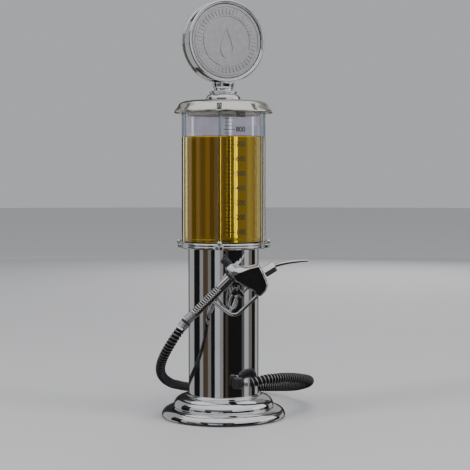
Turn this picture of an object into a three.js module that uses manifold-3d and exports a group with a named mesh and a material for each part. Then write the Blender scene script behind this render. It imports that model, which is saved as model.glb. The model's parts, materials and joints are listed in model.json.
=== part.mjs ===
// Tabletop drinks dispenser in the shape of a vintage petrol pump: a stepped base, a polished column, a clear
// tank with a printed scale, a lid with a round sign on it, and a hose with a hand nozzle on a peg.
// Millimetres, +Z up, front towards -Y. The origin is the centre of the foot pad's underside.
import * as THREE from 'three';
import { mergeVertices } from 'three/addons/utils/BufferGeometryUtils.js';
import Module from 'manifold-3d';

const wasm = await Module();
wasm.setup();

// ---- driving dimensions ---------------------------------------------------------------------------------

const GAP = 0.3; // clearance between neighbouring pieces
const FINE = 32; // sides of the large round pieces
const MEDIUM = 24;
const SMALL = 12;

const BASE_R = 73.2; // widest radius of the lower step
const STEP_R = 59.4; // widest radius of the upper step
const STEP_Z = 12.4; // where the two steps meet
const BASE_TOP = 26;
const PAD_R = 62;
const PAD_H = 2.2;
const PLATE_R = 69.5;
const PLATE_H = 2;
const BASE_SCREWS = 3;
const BASE_SCREW_CIRCLE = 50;

const COLUMN_R = 41.4;
const COLUMN_WALL = 1.4;
const COLUMN_FOOT = 21.5;
const COLUMN_TOP = 199.7;

const COLLAR_R = 50;
const COLLAR_BOTTOM = 200;
const COLLAR_FLOOR = 203.7;
const COLLAR_TOP = 207;
const LUG_R = 5.2;
const LUG_CIRCLE = 49.4;
const LUG_TOP = 204.8;
const SCREW_CIRCLE = 52.8;
const ROD_ANGLES = [-95, -5, 85, 175]; // from the front, towards +X
const ROD_R = 2.1;
const ROD_CIRCLE = 47.4;
const ROD_TOP = 363;

const TANK_R = 45;
const TANK_BORE = 43.3;
const TANK_FLOOR = 208.3;
const TANK_TOP = 361;
const DRAIN_R = 5;

const LID_TOP = 373;
const LID_FLAT_R = 37.8;
const LIP_R = 57.8;
const LIP_Z = 358.5;
const NOTCHES = 8;
const NOTCH_WIDTH = 5.7;
const NOTCH_HEIGHT = 7.2;
const NOTCH_Z = 364.1;

const GLOBE_R = 47.8;
const GLOBE_Z = 442.1;
const GLOBE_YAW = 22.5; // the sign's face is turned towards +X by this much
const GLOBE_HALF = 12.5;
const NECK_R = 12.7;
const BOLT_R = 2.6;

const OUTLET_ANGLE = 18.4;
const OUTLET_Z = 47.2;
const OUTLET_RADIUS = 52.2;
const HOSE_R = 5.7;

const NOZZLE_AT = [-41.5, -58, 120.6]; // lower end of the grip
const NOZZLE_TILT = 44; // the grip's angle above the horizontal
const HEAD_HALF = 9;
const GRIP_R = 5.8;
const GRIP_LENGTH = 68.6;
const PEG_AT = [19.5, -46, 170];
const PEG_TILT = 20; // the peg climbs by this much as it leaves the column
const PEG_R = 3;
const PIVOT = [65.5, -14]; // along and across the grip
const STEM_V = -21.5; // height of the valve stem across the grip
const SPOUT_START = [101, -21.75];
const SPOUT_TURN = -12.6; // from the grip's direction
const SPOUT_NUT_R = 6.7;
const SPOUT_NUT_LENGTH = 14.6;

// centre line of the hose, from the outlet round the back of the base to the grip
const HOSE_ROUTE = [
  [28.6, -49.5, 47.2], [32.5, -49.5, 47.4], [40, -48.4, 49.2], [49, -44.4, 50.6], [59.6, -36.4, 50.6],
  [70.2, -25, 49.6], [80.2, -12, 47.6], [89.4, 3.5, 44.6], [97.2, 19, 41.2], [103, 36, 37.4],
  [105.4, 54, 32.8], [103.8, 72, 27.6], [98.4, 90, 22.4], [91.4, 107, 18], [83.8, 124, 14.6],
  [74, 141, 11.6], [61, 156, 9], [44, 167, 7.2], [24, 172.5, 6.4], [4, 171, 6.4], [-14, 163, 7.2],
  [-28, 149, 9.6], [-38, 131, 13], [-45.5, 111, 17], [-51.5, 90, 21.4], [-57, 69, 26.2],
  [-62.6, 47, 31.2], [-67, 29, 36.8], [-70.8, 11, 43.2], [-73.4, -6, 51], [-73.8, -22, 60.2],
  [-71.4, -36.5, 70.8], [-67.2, -46.8, 80.8], [-62.3, -53, 90], [-57.8, -56.6, 97.7],
  [-54, -57.9, 103.4], [-50.8, -58, 108], [-47.65, -58, 112.1],
];
const HOSE_STEPS = 40;

const COLOURS = {
  chrome: { color: 0xc9ccd2, roughness: 0.08, metalness: 1 },
  satin: { color: 0xb9babf, roughness: 0.35, metalness: 1 },
  lid: { color: 0xc9c6bc, roughness: 0.3, metalness: 0.8 },
  clear: { color: 0xdfe6ea, roughness: 0.05, metalness: 0 },
  white: { color: 0xe4e2dc, roughness: 0.5, metalness: 0 },
  black: { color: 0x16171a, roughness: 0.45, metalness: 0 },
  rubber: { color: 0x202124, roughness: 0.8, metalness: 0 },
  silicone: { color: 0xd8d6cc, roughness: 0.6, metalness: 0 },
  steel: { color: 0x8d9096, roughness: 0.35, metalness: 1 },
};

// ---- shape helpers --------------------------------------------------------------------------------------

const rad = THREE.MathUtils.degToRad;

// a point at a radius and height, at an angle measured from the front towards +X
const around = (radius, angle, z) =>
  new THREE.Vector3(radius * Math.sin(rad(angle)), -radius * Math.cos(rad(angle)), z);

// points of an elliptical arc in a profile
function arc(cx, cy, rx, ry, from, to, steps) {
  return Array.from({ length: steps + 1 }, (_, i) => {
    const a = rad(from + ((to - from) * i) / steps);
    return [cx + rx * Math.cos(a), cy + ry * Math.sin(a)];
  });
}

// shared vertices merged, triangles without area dropped, faces pointing out
function welded(geometry) {
  const bare = geometry.clone();
  bare.deleteAttribute('normal');
  bare.deleteAttribute('uv');
  const merged = mergeVertices(bare, 1e-4);
  const position = merged.attributes.position;
  const corner = [new THREE.Vector3(), new THREE.Vector3(), new THREE.Vector3()];
  const triangles = [];
  let volume = 0;
  for (let i = 0; i < merged.index.count; i += 3) {
    const ids = [0, 1, 2].map((k) => merged.index.getX(i + k));
    if (new Set(ids).size < 3) continue;
    ids.forEach((id, k) => corner[k].fromBufferAttribute(position, id));
    volume += corner[0].dot(corner[1].clone().cross(corner[2]));
    triangles.push(ids);
  }
  merged.setIndex(triangles.flatMap(([a, b, c]) => (volume < 0 ? [a, c, b] : [a, b, c])));
  return merged;
}

function toSolid(geometry) {
  const { attributes, index } = welded(geometry);
  return new wasm.Manifold(new wasm.Mesh({
    numProp: 3,
    vertProperties: new Float32Array(attributes.position.array),
    triVerts: new Uint32Array(index.array),
  }));
}

// joins `added` to a shape and cuts `removed` from it
function worked(shape, { added = [], removed = [] }) {
  let solid = toSolid(shape);
  for (const other of added) solid = solid.add(toSolid(other));
  for (const other of removed) solid = solid.subtract(toSolid(other));
  const { vertProperties, triVerts } = solid.getMesh();
  const geometry = new THREE.BufferGeometry();
  geometry.setAttribute('position', new THREE.BufferAttribute(vertProperties, 3));
  geometry.setIndex(new THREE.BufferAttribute(triVerts, 1));
  return geometry;
}

// a piece turned about Y from [radius, height] points; it closes on itself unless it ends on the axis
function turnedY(profile, segments) {
  const points = profile.map(([r, h]) => new THREE.Vector2(r, h));
  if (profile[0][0] > 0) points.push(points[0].clone());
  return new THREE.LatheGeometry(points, segments);
}

const turned = (profile, segments) => turnedY(profile, segments).rotateX(Math.PI / 2);

const disc = (radius, low, high, segments) =>
  turned([[0, low], [radius, low], [radius, high], [0, high]], segments);

const ring = (inner, outer, low, high, segments) =>
  turned([[inner, low], [outer, low], [outer, high], [inner, high]], segments);

// moves a shape made along +Z so that its height runs from `from` towards `to`
function aimed(geometry, from, to) {
  const direction = to.clone().sub(from).normalize();
  const turn = new THREE.Quaternion().setFromUnitVectors(new THREE.Vector3(0, 0, 1), direction);
  return geometry.applyQuaternion(turn).translate(from.x, from.y, from.z);
}

// a six-sided nut on a threaded piece of the given radius
const nut = (threadRadius, across, from, to) =>
  sleeve((threadRadius + GAP) / Math.cos(Math.PI / 6), across, from, to, 6);

const bar = (radius, from, to, segments) =>
  aimed(disc(radius, 0, from.distanceTo(to), segments), from, to);

const sleeve = (inner, outer, from, to, segments) =>
  aimed(ring(inner, outer, 0, from.distanceTo(to), segments), from, to);

const curve = (points) =>
  new THREE.CatmullRomCurve3(points.map((p) => new THREE.Vector3(...p)), false, 'centripetal');

// a tube along a route, hollow when it has an inner radius
function tube(points, radius, steps, sides, inner = 0) {
  const section = new THREE.Shape().absarc(0, 0, radius, 0, 2 * Math.PI);
  if (inner) section.holes.push(new THREE.Path().absarc(0, 0, inner, 0, 2 * Math.PI, true));
  return new THREE.ExtrudeGeometry(section, {
    steps, extrudePath: curve(points), bevelEnabled: false, curveSegments: sides / 2,
  });
}

// a flat outline in the grip's plane, made as thick as 2 * half across it
function slab(outline, half, bevel = 0, hole = null) {
  const shape = new THREE.Shape(outline.map(([u, v]) => new THREE.Vector2(u, v)));
  if (hole) shape.holes.push(new THREE.Path(hole.map(([u, v]) => new THREE.Vector2(u, v))));
  const geometry = new THREE.ExtrudeGeometry(shape, {
    depth: 2 * (half - bevel), bevelEnabled: bevel > 0,
    bevelThickness: bevel, bevelSize: bevel, bevelOffset: -bevel, bevelSegments: 1,
  });
  return geometry.rotateX(Math.PI / 2).translate(0, half - bevel, 0);
}

// outline of a strip of constant width along a smooth line
function strip(points, width, steps) {
  const line = new THREE.SplineCurve(points.map(([u, v]) => new THREE.Vector2(u, v)));
  const side = (sign) => Array.from({ length: steps + 1 }, (_, i) => {
    const at = line.getPoint(i / steps);
    const along = line.getTangent(i / steps);
    return [at.x - (sign * along.y * width) / 2, at.y + (sign * along.x * width) / 2];
  });
  return [...side(1), ...side(-1).reverse()];
}

const ellipse = (cx, cy, a, b, tilt, steps) => arc(0, 0, a, b, 0, 360, steps).slice(0, steps)
  .map(([x, y]) => [
    cx + x * Math.cos(rad(tilt)) - y * Math.sin(rad(tilt)),
    cy + x * Math.sin(rad(tilt)) + y * Math.cos(rad(tilt)),
  ]);

const pump = new THREE.Group();

function add(parent, name, geometry, look) {
  const mesh = new THREE.Mesh(welded(geometry), new THREE.MeshStandardMaterial(COLOURS[look]));
  mesh.name = name;
  parent.add(mesh);
}

// ---- base -----------------------------------------------------------------------------------------------

const PLATE_Z = PAD_H + GAP;
const PLATE_TOP = PLATE_Z + PLATE_H;

function addBase() {
  const screwAngles = Array.from({ length: BASE_SCREWS }, (_, i) => 60 + (360 / BASE_SCREWS) * i);
  const post = (radius, low, high) => screwAngles.map((a) =>
    bar(radius, around(BASE_SCREW_CIRCLE, a, low), around(BASE_SCREW_CIRCLE, a, high), 12));

  add(pump, 'foot_pad', worked(disc(PAD_R, 0, PAD_H, FINE), { removed: post(5, -1, PAD_H + 1) }), 'rubber');
  add(pump, 'base_plate',
    worked(disc(PLATE_R, PLATE_Z, PLATE_TOP, FINE), { removed: post(2, 0, PLATE_TOP + 1) }), 'steel');
  screwAngles.forEach((a, i) => {
    const screw = turned([[0, 0.7], [3.8, 0.7], [3.8, PAD_H], [1.4, PAD_H], [1.4, 12], [0, 12]], 12);
    const { x, y } = around(BASE_SCREW_CIRCLE, a, 0);
    add(pump, `base_screw_${i + 1}`, screw.translate(x, y, 0), 'steel');
  });

  const outside = [
    [70.6, 1], [72.4, 1.2],
    ...arc(STEP_R + 1.8, 3, BASE_R - STEP_R - 1.8, STEP_Z - 3, 0, 90, 4),
    [STEP_R - 0.6, STEP_Z],
    ...arc(45.8, 13.6, STEP_R - 45.8, BASE_TOP - 13.6, 0, 90, 5),
    [44.6, BASE_TOP + 0.7], [44, BASE_TOP + 2.1], [COLUMN_R + GAP, BASE_TOP + 2.3],
  ];
  const inside = [
    [COLUMN_R + GAP, COLUMN_FOOT], [38, COLUMN_FOOT], [38, 19], [48, 19], [54, 15.4], [56.2, 9.2],
    [66, 8.4], [70.2, 5], [70.2, 1.2],
  ];
  add(pump, 'base_shell', worked(turned([...outside, ...inside], FINE), {
    added: post(4, PLATE_TOP + GAP, 18), removed: post(1.7, 0, 13),
  }), 'chrome');
  add(pump, 'base_weight', ring(8, 44, PLATE_TOP + GAP, PLATE_TOP + 12, MEDIUM), 'steel');
}

// ---- column, its peg and its outlet ---------------------------------------------------------------------

const pegAt = new THREE.Vector3(...PEG_AT);
const pegWay = new THREE.Vector3(0, -Math.cos(rad(PEG_TILT)), Math.sin(rad(PEG_TILT)));
const onPeg = (distance) => pegAt.clone().addScaledVector(pegWay, distance);
const PEG_ANGLE = 27.8; // where on the column the bracket sits
const fromOutlet = (radius) => around(radius, OUTLET_ANGLE, OUTLET_Z);
const BRACKET_SCREWS = [163.5, 177.5];

function addColumn() {
  const inner = COLUMN_R - COLUMN_WALL;
  const screwBores = BRACKET_SCREWS.map((z) =>
    bar(1.7, around(35, PEG_ANGLE, z), around(45, PEG_ANGLE, z), 10));
  const outletBore = bar(DRAIN_R + GAP, fromOutlet(30), fromOutlet(60), 16);
  add(pump, 'column_tube', worked(ring(inner, COLUMN_R, COLUMN_FOOT + GAP, COLUMN_TOP, FINE), {
    removed: [outletBore, ...screwBores],
  }), 'chrome');

  const columnSpace = disc(COLUMN_R + GAP, 140, 200, FINE);
  const block = new THREE.BoxGeometry(18, 18, 22).translate(PEG_AT[0], -37, 170.5);
  add(pump, 'hook_bracket', worked(block, {
    added: [bar(PEG_R, onPeg(-3), onPeg(10.5), 16)], removed: [columnSpace, ...screwBores],
  }), 'chrome');
  BRACKET_SCREWS.forEach((z, i) => {
    const screw = turned([[0, 0], [2.9, 0], [2.9, 2.5], [1.4, 2.5], [1.4, 7.4], [0, 7.4]], 10);
    const placed = aimed(screw, around(37.2, PEG_ANGLE, z), around(60, PEG_ANGLE, z));
    add(pump, `hook_screw_${i + 1}`, placed, 'steel');
  });
}

const FERRULE_LENGTH = 5;
const ELBOW_R = 6.2;

function addOutlet() {
  const centre = fromOutlet(OUTLET_RADIUS);
  const tail = fromOutlet(33);
  const mouth = new THREE.Vector3(23.3, centre.y, OUTLET_Z);
  const beyond = (p) => p.clone().add(p.clone().sub(centre).setLength(2));
  const body = turned([
    [0, -6.2], [5, -6.2], [ELBOW_R, -5], [ELBOW_R, 4.6], [4.8, 6], [0, 6.4],
  ], 16).translate(centre.x, centre.y, OUTLET_Z);
  add(pump, 'outlet_elbow', worked(body, {
    added: [bar(DRAIN_R, tail, centre, 16), bar(4.7, centre, mouth, 16)],
    removed: [bar(2.4, beyond(tail), centre, 10), bar(2.4, centre, beyond(mouth), 10)],
  }), 'black');

  const washer = sleeve(DRAIN_R + GAP, 6.6, fromOutlet(39), fromOutlet(43.6), 16);
  add(pump, 'outlet_gasket', worked(washer, { removed: [disc(COLUMN_R + GAP, 30, 70, FINE)] }), 'rubber');
  add(pump, 'outlet_nut', nut(DRAIN_R, 8.6, fromOutlet(34.2), fromOutlet(38.2)), 'steel');

  const ferruleStart = new THREE.Vector3(23.3 + GAP, -49.5, OUTLET_Z);
  const ferruleEnd = ferruleStart.clone().setX(ferruleStart.x + FERRULE_LENGTH - 2 * GAP);
  add(pump, 'outlet_ferrule', sleeve(2.4, 4.8, ferruleStart, ferruleEnd, 16), 'satin');
  add(pump, 'hose', tube(HOSE_ROUTE, HOSE_R, HOSE_STEPS, 10), 'black');

  const fall = [ // distance from the axis and height of the inner tube
    [0, 187.7], [0, 160], [1, 130], [4, 96], [9, 71], [16, 55.8], [24, 49.4], [29, OUTLET_Z],
    [33 - GAP, OUTLET_Z],
  ];
  const drainRoute = fall.map(([radius, z]) => around(radius, OUTLET_ANGLE, z).toArray());
  add(pump, 'drain_tube', tube(drainRoute, 4, 12, 8, 2.4), 'silicone');
}

// ---- collar, tank and drain -----------------------------------------------------------------------------

function addCollar() {
  const spigot = COLUMN_R - COLUMN_WALL - GAP;
  const profile = [
    [6.3, COLLAR_BOTTOM], [spigot - 2.5, COLLAR_BOTTOM], [spigot - 2.5, 192], [spigot, 192],
    [spigot, COLLAR_BOTTOM], [COLLAR_R - 1.1, COLLAR_BOTTOM], [COLLAR_R, 201.2], [COLLAR_R, 205.8],
    [COLLAR_R - 1, COLLAR_TOP], [TANK_R + 0.4, COLLAR_TOP], [TANK_R + 0.4, COLLAR_FLOOR], [6.3, COLLAR_FLOOR],
  ];
  const post = (radius, circle, low, high, sides) => ROD_ANGLES.map((a) =>
    bar(radius, around(circle, a, low), around(circle, a, high), sides));
  add(pump, 'collar', worked(turned(profile, FINE), {
    added: post(LUG_R, LUG_CIRCLE, COLLAR_BOTTOM + 0.6, LUG_TOP, 16),
    removed: [
      ...post(1.5, ROD_CIRCLE, 204, COLLAR_TOP + 1, 8),
      ...post(1.5, SCREW_CIRCLE, 201.6, LUG_TOP + 1, 8),
    ],
  }), 'chrome');

  ROD_ANGLES.forEach((angle, i) => {
    const foot = COLLAR_TOP + GAP;
    const rod = turned([
      [0, 204.3], [1.2, 204.3], [1.2, foot], [ROD_R, foot], [ROD_R, ROD_TOP], [0, ROD_TOP],
    ], SMALL);
    const at = around(ROD_CIRCLE, angle, 0);
    add(pump, `rod_${i + 1}`, rod.translate(at.x, at.y, 0), 'clear');

    const ball = arc(0, 207.9, 2.9, 2.9, -50, 90, 6).map(([r, z]) => [Math.max(r, 0), z]);
    ball[ball.length - 1][0] = 0;
    const screw = turned([[0, 201.9], [1.2, 201.9], [1.2, LUG_TOP + GAP], ...ball], 14);
    const lug = around(SCREW_CIRCLE, angle, 0);
    add(pump, `collar_screw_${i + 1}`, screw.translate(lug.x, lug.y, 0), 'chrome');
  });
}

function addTank() {
  const tankBottom = TANK_FLOOR - 3;
  add(pump, 'tank_gasket', ring(36, TANK_R - 1, COLLAR_FLOOR + GAP, tankBottom - GAP, MEDIUM), 'silicone');
  add(pump, 'tank', turned([
    [DRAIN_R + 0.4, tankBottom], [TANK_R, tankBottom], [TANK_R, TANK_TOP], [TANK_BORE, TANK_TOP],
    [TANK_BORE, TANK_FLOOR], [DRAIN_R + 0.4, TANK_FLOOR],
  ], FINE), 'clear');
  add(pump, 'drain_washer', ring(DRAIN_R + 0.4, 9, TANK_FLOOR + GAP, TANK_FLOOR + 1.3, SMALL), 'silicone');
  const flange = TANK_FLOOR + 1.6;
  add(pump, 'drain_fitting', turned([
    [2.6, 188], [3.6, 188], [3.6, 193], [DRAIN_R, 193], [DRAIN_R, flange], [9, flange], [9, flange + 1.4],
    [7.6, flange + 2.2], [2.6, flange + 2.2],
  ], SMALL), 'white');
  add(pump, 'drain_nut', nut(DRAIN_R, 9.2, around(0, 0, 195.8), around(0, 0, COLLAR_BOTTOM - GAP)), 'white');
}

// ---- lid ------------------------------------------------------------------------------------------------

const lid = new THREE.Group();
pump.add(lid);

function addLid() {
  const profile = [
    [BOLT_R + 0.7, 369.6], [51, 369.6], [51.3, 366], [53.5, 362.8], [55.6, 360.2], [56.4, LIP_Z],
    [57.3, LIP_Z], [LIP_R, 359.4], [57.6, 361], [55.2, 363.6], [53.4, 366.2],
    ...arc(LID_FLAT_R, 367.4, 15, LID_TOP - 367.4, 12, 90, 4), [BOLT_R + 0.7, LID_TOP],
  ];
  const notches = Array.from({ length: NOTCHES }, (_, i) => {
    const box = new THREE.BoxGeometry(NOTCH_WIDTH, 10, NOTCH_HEIGHT).translate(0, -55, NOTCH_Z);
    return box.rotateZ(rad(ROD_ANGLES[1] + (360 / NOTCHES) * i));
  });
  add(lid, 'lid_shell', worked(turned(profile, FINE), { removed: notches }), 'lid');
  add(lid, 'lid_liner', turned([
    [41, 355.5], [43, 355.5], [43, 362.3], [TANK_R, 362.3], [TANK_R, 369.3], [41, 369.3],
  ], FINE), 'white');
  add(lid, 'lid_seal', ring(43.3, TANK_R, TANK_TOP + GAP, 362, FINE), 'silicone');
}

// ---- round sign on its neck -----------------------------------------------------------------------------

const globe = new THREE.Group();
globe.position.set(0, 0, GLOBE_Z);
globe.rotation.z = rad(GLOBE_YAW);
lid.add(globe);

function addGlobe() {
  const faceWay = around(30, GLOBE_YAW, GLOBE_Z);
  const drumSpace = bar(GLOBE_R + GAP, faceWay, new THREE.Vector3(-faceWay.x, -faceWay.y, GLOBE_Z), FINE);
  const neck = turned([
    [BOLT_R + 0.3, LID_TOP + GAP], [20.4, LID_TOP + GAP], [20.4, 375.2],
    ...arc(14.8, 375.2, 5.6, 5.3, 15, 90, 3), [14.8, 381.2], [16.2, 381.9], [16.2, 383.6], [14.6, 384.2],
    [10.8, 384.8], [10.8, 387.2], [12, 388.6], [NECK_R, 391], [NECK_R, 397], [BOLT_R + 0.3, 397],
  ], 22);
  add(lid, 'neck', worked(neck, { removed: [drumSpace] }), 'chrome');
  add(lid, 'neck_washer', ring(BOLT_R + 0.4, 9, 368, 369.3, SMALL), 'steel');
  const boltHead = disc(6, 363, 367.7, 6);
  add(lid, 'neck_bolt', worked(disc(BOLT_R, 363, 403.4, SMALL), { added: [boltHead] }), 'steel');
  add(lid, 'globe_nut', nut(BOLT_R, 6, around(0, 0, 399.2), around(0, 0, 402.8)), 'steel');

  const shellR = GLOBE_R - 1.6;
  const boltHole = bar(BOLT_R + GAP, new THREE.Vector3(0, 0, -GLOBE_R - 5), new THREE.Vector3(0, 0, -30), 12);
  const shell = turnedY([
    [shellR - 1.8, -8.4], [shellR - 0.8, -8.4], [shellR, -6.4], [shellR, 6.4], [shellR - 0.8, 8.4],
    [shellR - 1.8, 8.4],
  ], FINE);
  add(globe, 'globe_drum', worked(shell, { removed: [boltHole] }), 'chrome');

  [['front', -1], ['rear', 1]].forEach(([end, side]) => {
    const bezel = [
      [40.6, 8.7], [GLOBE_R - 0.6, 8.7], [GLOBE_R, 9.6], [GLOBE_R, 11.6], [GLOBE_R - 1.2, GLOBE_HALF],
      [GLOBE_R - 3.4, GLOBE_HALF], [43.4, 11.2], [43.4, 9], [40.6, 9],
    ];
    add(globe, `${end}_bezel`, turnedY(bezel.map(([r, h]) => [r, side * h]), FINE), 'chrome');
    const face = [[0, 9.3], [43, 9.3], [43, 10.6], [0, 10.6]];
    add(globe, `${end}_face`, turnedY(face.map(([r, h]) => [r, side * h]), FINE), 'satin');
  });
}

// ---- nozzle: x runs along the grip, z across it ---------------------------------------------------------

const nozzle = new THREE.Group();
nozzle.position.set(...NOZZLE_AT);
nozzle.rotation.y = -rad(NOZZLE_TILT);
nozzle.updateMatrix();
pump.add(nozzle);

const inNozzle = (point) => point.clone().applyMatrix4(nozzle.matrix.clone().invert());
const at = (u, v, w = 0) => new THREE.Vector3(u, w, v);
const spoutWay = at(Math.cos(rad(SPOUT_TURN)), Math.sin(rad(SPOUT_TURN)));
const onSpout = (distance) => at(...SPOUT_START).addScaledVector(spoutWay, distance);

function addNozzleHead() {
  const outline = [
    [70.6, 6.4], [73.6, 12], [82.4, 12], [81, 6], [87.3, 1.8], [93.5, -4.6], [103.8, -10.4], [97.2, -30],
    [94.5, -35.2], [88.6, -38.2], [80.2, -38.4], [76, -35], [77.8, -27.5], [75.2, -23], [71.8, -10],
    [70.6, -6.4],
  ];
  const lug = [[72.6, -8], [66, -9], [62.4, -14], [64.6, -17.4], [73.6, -17.4]];
  const cheeks = [-1, 1].map((side) => slab(lug, 1.1).translate(0, side * 4.6, 0));
  const socket = bar(PEG_R + 0.5, inNozzle(onPeg(1)), inNozzle(onPeg(11.2)), 16);
  const bores = [
    bar(2.6, at(60, 0.4), at(90, 0.4), 10), // from the grip
    bar(2.2, onSpout(-16), onSpout(5), 10), // to the spout
    bar(3.2, at(60, STEM_V), at(93, STEM_V), 12), // for the valve stem and its spring
    bar(3.2, at(78.4, -18), at(78.4, 15), 12), // valve chamber under the cap
    bar(1.6, at(...PIVOT, -9), at(...PIVOT, 9), 12), // pivot pin
  ];
  add(nozzle, 'nozzle_head', worked(slab(outline, HEAD_HALF, 2), {
    added: cheeks, removed: [socket, ...bores],
  }), 'chrome');
  add(nozzle, 'pivot_pin', bar(1.3, at(...PIVOT, -6.4), at(...PIVOT, 6.4), 12), 'steel');
  add(nozzle, 'valve_cap', aimed(turned([
    [0, 0], [4.9, 0], [4.9, 9], [3.8, 10.2], [0, 10.2],
  ], 16), at(78.4, 12 + GAP), at(78.4, 30)), 'black');
}

// the hose's end leaves the grip at a slight angle
const TAIL_TURN = 9;
const TAIL_START = [-1.3, -0.4];
const onTail = (distance) => at(
  TAIL_START[0] - distance * Math.cos(rad(TAIL_TURN)), TAIL_START[1] - distance * Math.sin(rad(TAIL_TURN)),
);

function addGrip() {
  const hollow = 2.4;
  add(nozzle, 'nozzle_grip', sleeve(hollow, GRIP_R, at(10.5, 0.4), at(GRIP_LENGTH, 0.4), 16), 'chrome');
  add(nozzle, 'grip_end', sleeve(hollow, GRIP_R - 0.2, at(0, 0.2), at(10.2, 0.2), 16), 'satin');
  add(nozzle, 'grip_ring', sleeve(hollow, GRIP_R + 0.3, onTail(2), onTail(0), 16), 'black');
  add(nozzle, 'hose_ferrule', sleeve(hollow, GRIP_R, onTail(8.8), onTail(2 + GAP), 16), 'satin');
  const guard = [
    [36.4, -7], [37.6, -13], [39, -23], [41, -30], [45.2, -34.2], [52, -35], [64, -35.2], [75, -35.5],
  ];
  add(nozzle, 'trigger_guard', slab(strip(guard, 4, 18), 2.6, 0.6), 'chrome');
}

function addSpout() {
  const start = onSpout(SPOUT_NUT_LENGTH + GAP);
  const run = [ // level distance and rise
    [0, 0], [1.2, 0.73], [5.8, 2.2], [12.6, 3.6], [20.2, 4.8], [29, 5.7], [37.8, 6.2],
  ];
  const lift = rad(NOZZLE_TILT);
  const route = run.map(([level, rise]) => [
    start.x + level * Math.cos(lift) + rise * Math.sin(lift), 0,
    start.z - level * Math.sin(lift) + rise * Math.cos(lift),
  ]);
  add(nozzle, 'spout_ferrule', sleeve(1.5, SPOUT_NUT_R, onSpout(0), onSpout(SPOUT_NUT_LENGTH), 6), 'chrome');
  add(nozzle, 'spout', tube(route, 2.1, 9, 8, 1.2), 'chrome');
}

const TRIGGER_HALF = 3;
const LOOP_AT = [52.2, -21.2]; // the ring that the finger pulls
const LOOP_TILT = 38;

function addTrigger() {
  const loop = slab(ellipse(...LOOP_AT, 9.3, 5.6, LOOP_TILT, 20), TRIGGER_HALF, 0,
    ellipse(...LOOP_AT, 6.9, 2.6, LOOP_TILT, 14).reverse());
  const arm = slab([
    [57.2, -11.8], [65.6, -10.6], [68.6, -14], [67.4, -25], [63.6, -25], [62.4, -18.4], [59.3, -18.1],
    [56.6, -15.4],
  ], TRIGGER_HALF);
  const fork = new THREE.BoxGeometry(10, 3.8, 9.2).translate(67, 0, STEM_V - 1.4); // straddles the stem
  add(nozzle, 'trigger', worked(loop, {
    added: [arm], removed: [bar(1.6, at(...PIVOT, -9), at(...PIVOT, 9), 12), fork],
  }), 'chrome');

  add(nozzle, 'valve_stem', aimed(turned([
    [0, 0], [2.5, 0], [2.5, 1.5], [1.2, 1.5], [1.2, 18.4], [2.8, 18.4], [2.8, 20], [0, 20],
  ], 12), at(61, STEM_V), at(80, STEM_V)), 'steel');

  const turns = 4;
  const stepsPerTurn = 8;
  const coil = Array.from({ length: turns * stepsPerTurn + 1 }, (_, i) => {
    const angle = (2 * Math.PI * i) / stepsPerTurn;
    return [81.9 + (10 * i) / (turns * stepsPerTurn), 2.2 * Math.cos(angle), STEM_V + 2.2 * Math.sin(angle)];
  });
  add(nozzle, 'valve_spring', tube(coil, 0.4, turns * stepsPerTurn, 4), 'steel');
}

addBase();
addColumn();
addOutlet();
addCollar();
addTank();
addLid();
addGlobe();
addNozzleHead();
addGrip();
addSpout();
addTrigger();

export default pump;
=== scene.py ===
"""Looks for the tabletop drinks dispenser in the shape of a petrol pump.

The scene is in metres, +Z up, front towards -Y. Profiles, outlines and routes are given in millimetres. Every
piece sits in the frame that the CAD model sets, and all but the hose ride on one of its bodies. Turned pieces
come from their profiles, the hose and spout from their routes, and flat ones from outlines.
"""
import json
import math

import bmesh
import bpy
from mathutils import Matrix, Vector


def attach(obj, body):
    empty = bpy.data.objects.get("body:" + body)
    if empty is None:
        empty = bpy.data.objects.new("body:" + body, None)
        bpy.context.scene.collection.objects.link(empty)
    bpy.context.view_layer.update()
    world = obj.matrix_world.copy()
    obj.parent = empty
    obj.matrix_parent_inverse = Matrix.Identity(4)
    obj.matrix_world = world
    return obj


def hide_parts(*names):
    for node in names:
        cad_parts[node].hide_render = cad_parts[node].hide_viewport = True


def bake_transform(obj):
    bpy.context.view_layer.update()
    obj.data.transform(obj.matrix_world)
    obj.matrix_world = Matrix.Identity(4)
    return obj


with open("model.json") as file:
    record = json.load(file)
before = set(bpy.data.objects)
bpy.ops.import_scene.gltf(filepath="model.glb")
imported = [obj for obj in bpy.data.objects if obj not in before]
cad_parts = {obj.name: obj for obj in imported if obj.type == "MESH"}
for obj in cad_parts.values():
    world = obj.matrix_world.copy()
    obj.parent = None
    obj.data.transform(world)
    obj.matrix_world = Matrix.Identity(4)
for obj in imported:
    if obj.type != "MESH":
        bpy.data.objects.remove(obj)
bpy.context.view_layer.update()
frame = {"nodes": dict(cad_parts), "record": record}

MM = 0.001
FINE = 160  # sides of the large round pieces
MEDIUM = 64
SMALL = 32

# ---- camera and studio ----------------------------------------------------------------------------

CAMERA_AT = Vector((0, -1.569, 0.291))
CAMERA_AIM = Vector((0.0136, 0, 0.2152))
LENS = 101.9
OBJECT_MIDDLE = (0, 0, 0.24)


def aim_at(obj, point):
    obj.rotation_euler = (Vector(point) - obj.location).to_track_quat("-Z", "Y").to_euler()


def make_camera():
    data = bpy.data.cameras.new("camera")
    data.lens = LENS
    data.sensor_width = 36
    data.clip_start, data.clip_end = 0.05, 50
    camera = bpy.data.objects.new("camera", data)
    bpy.context.scene.collection.objects.link(camera)
    camera.location = CAMERA_AT
    aim_at(camera, CAMERA_AIM)
    bpy.context.scene.camera = camera


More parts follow.
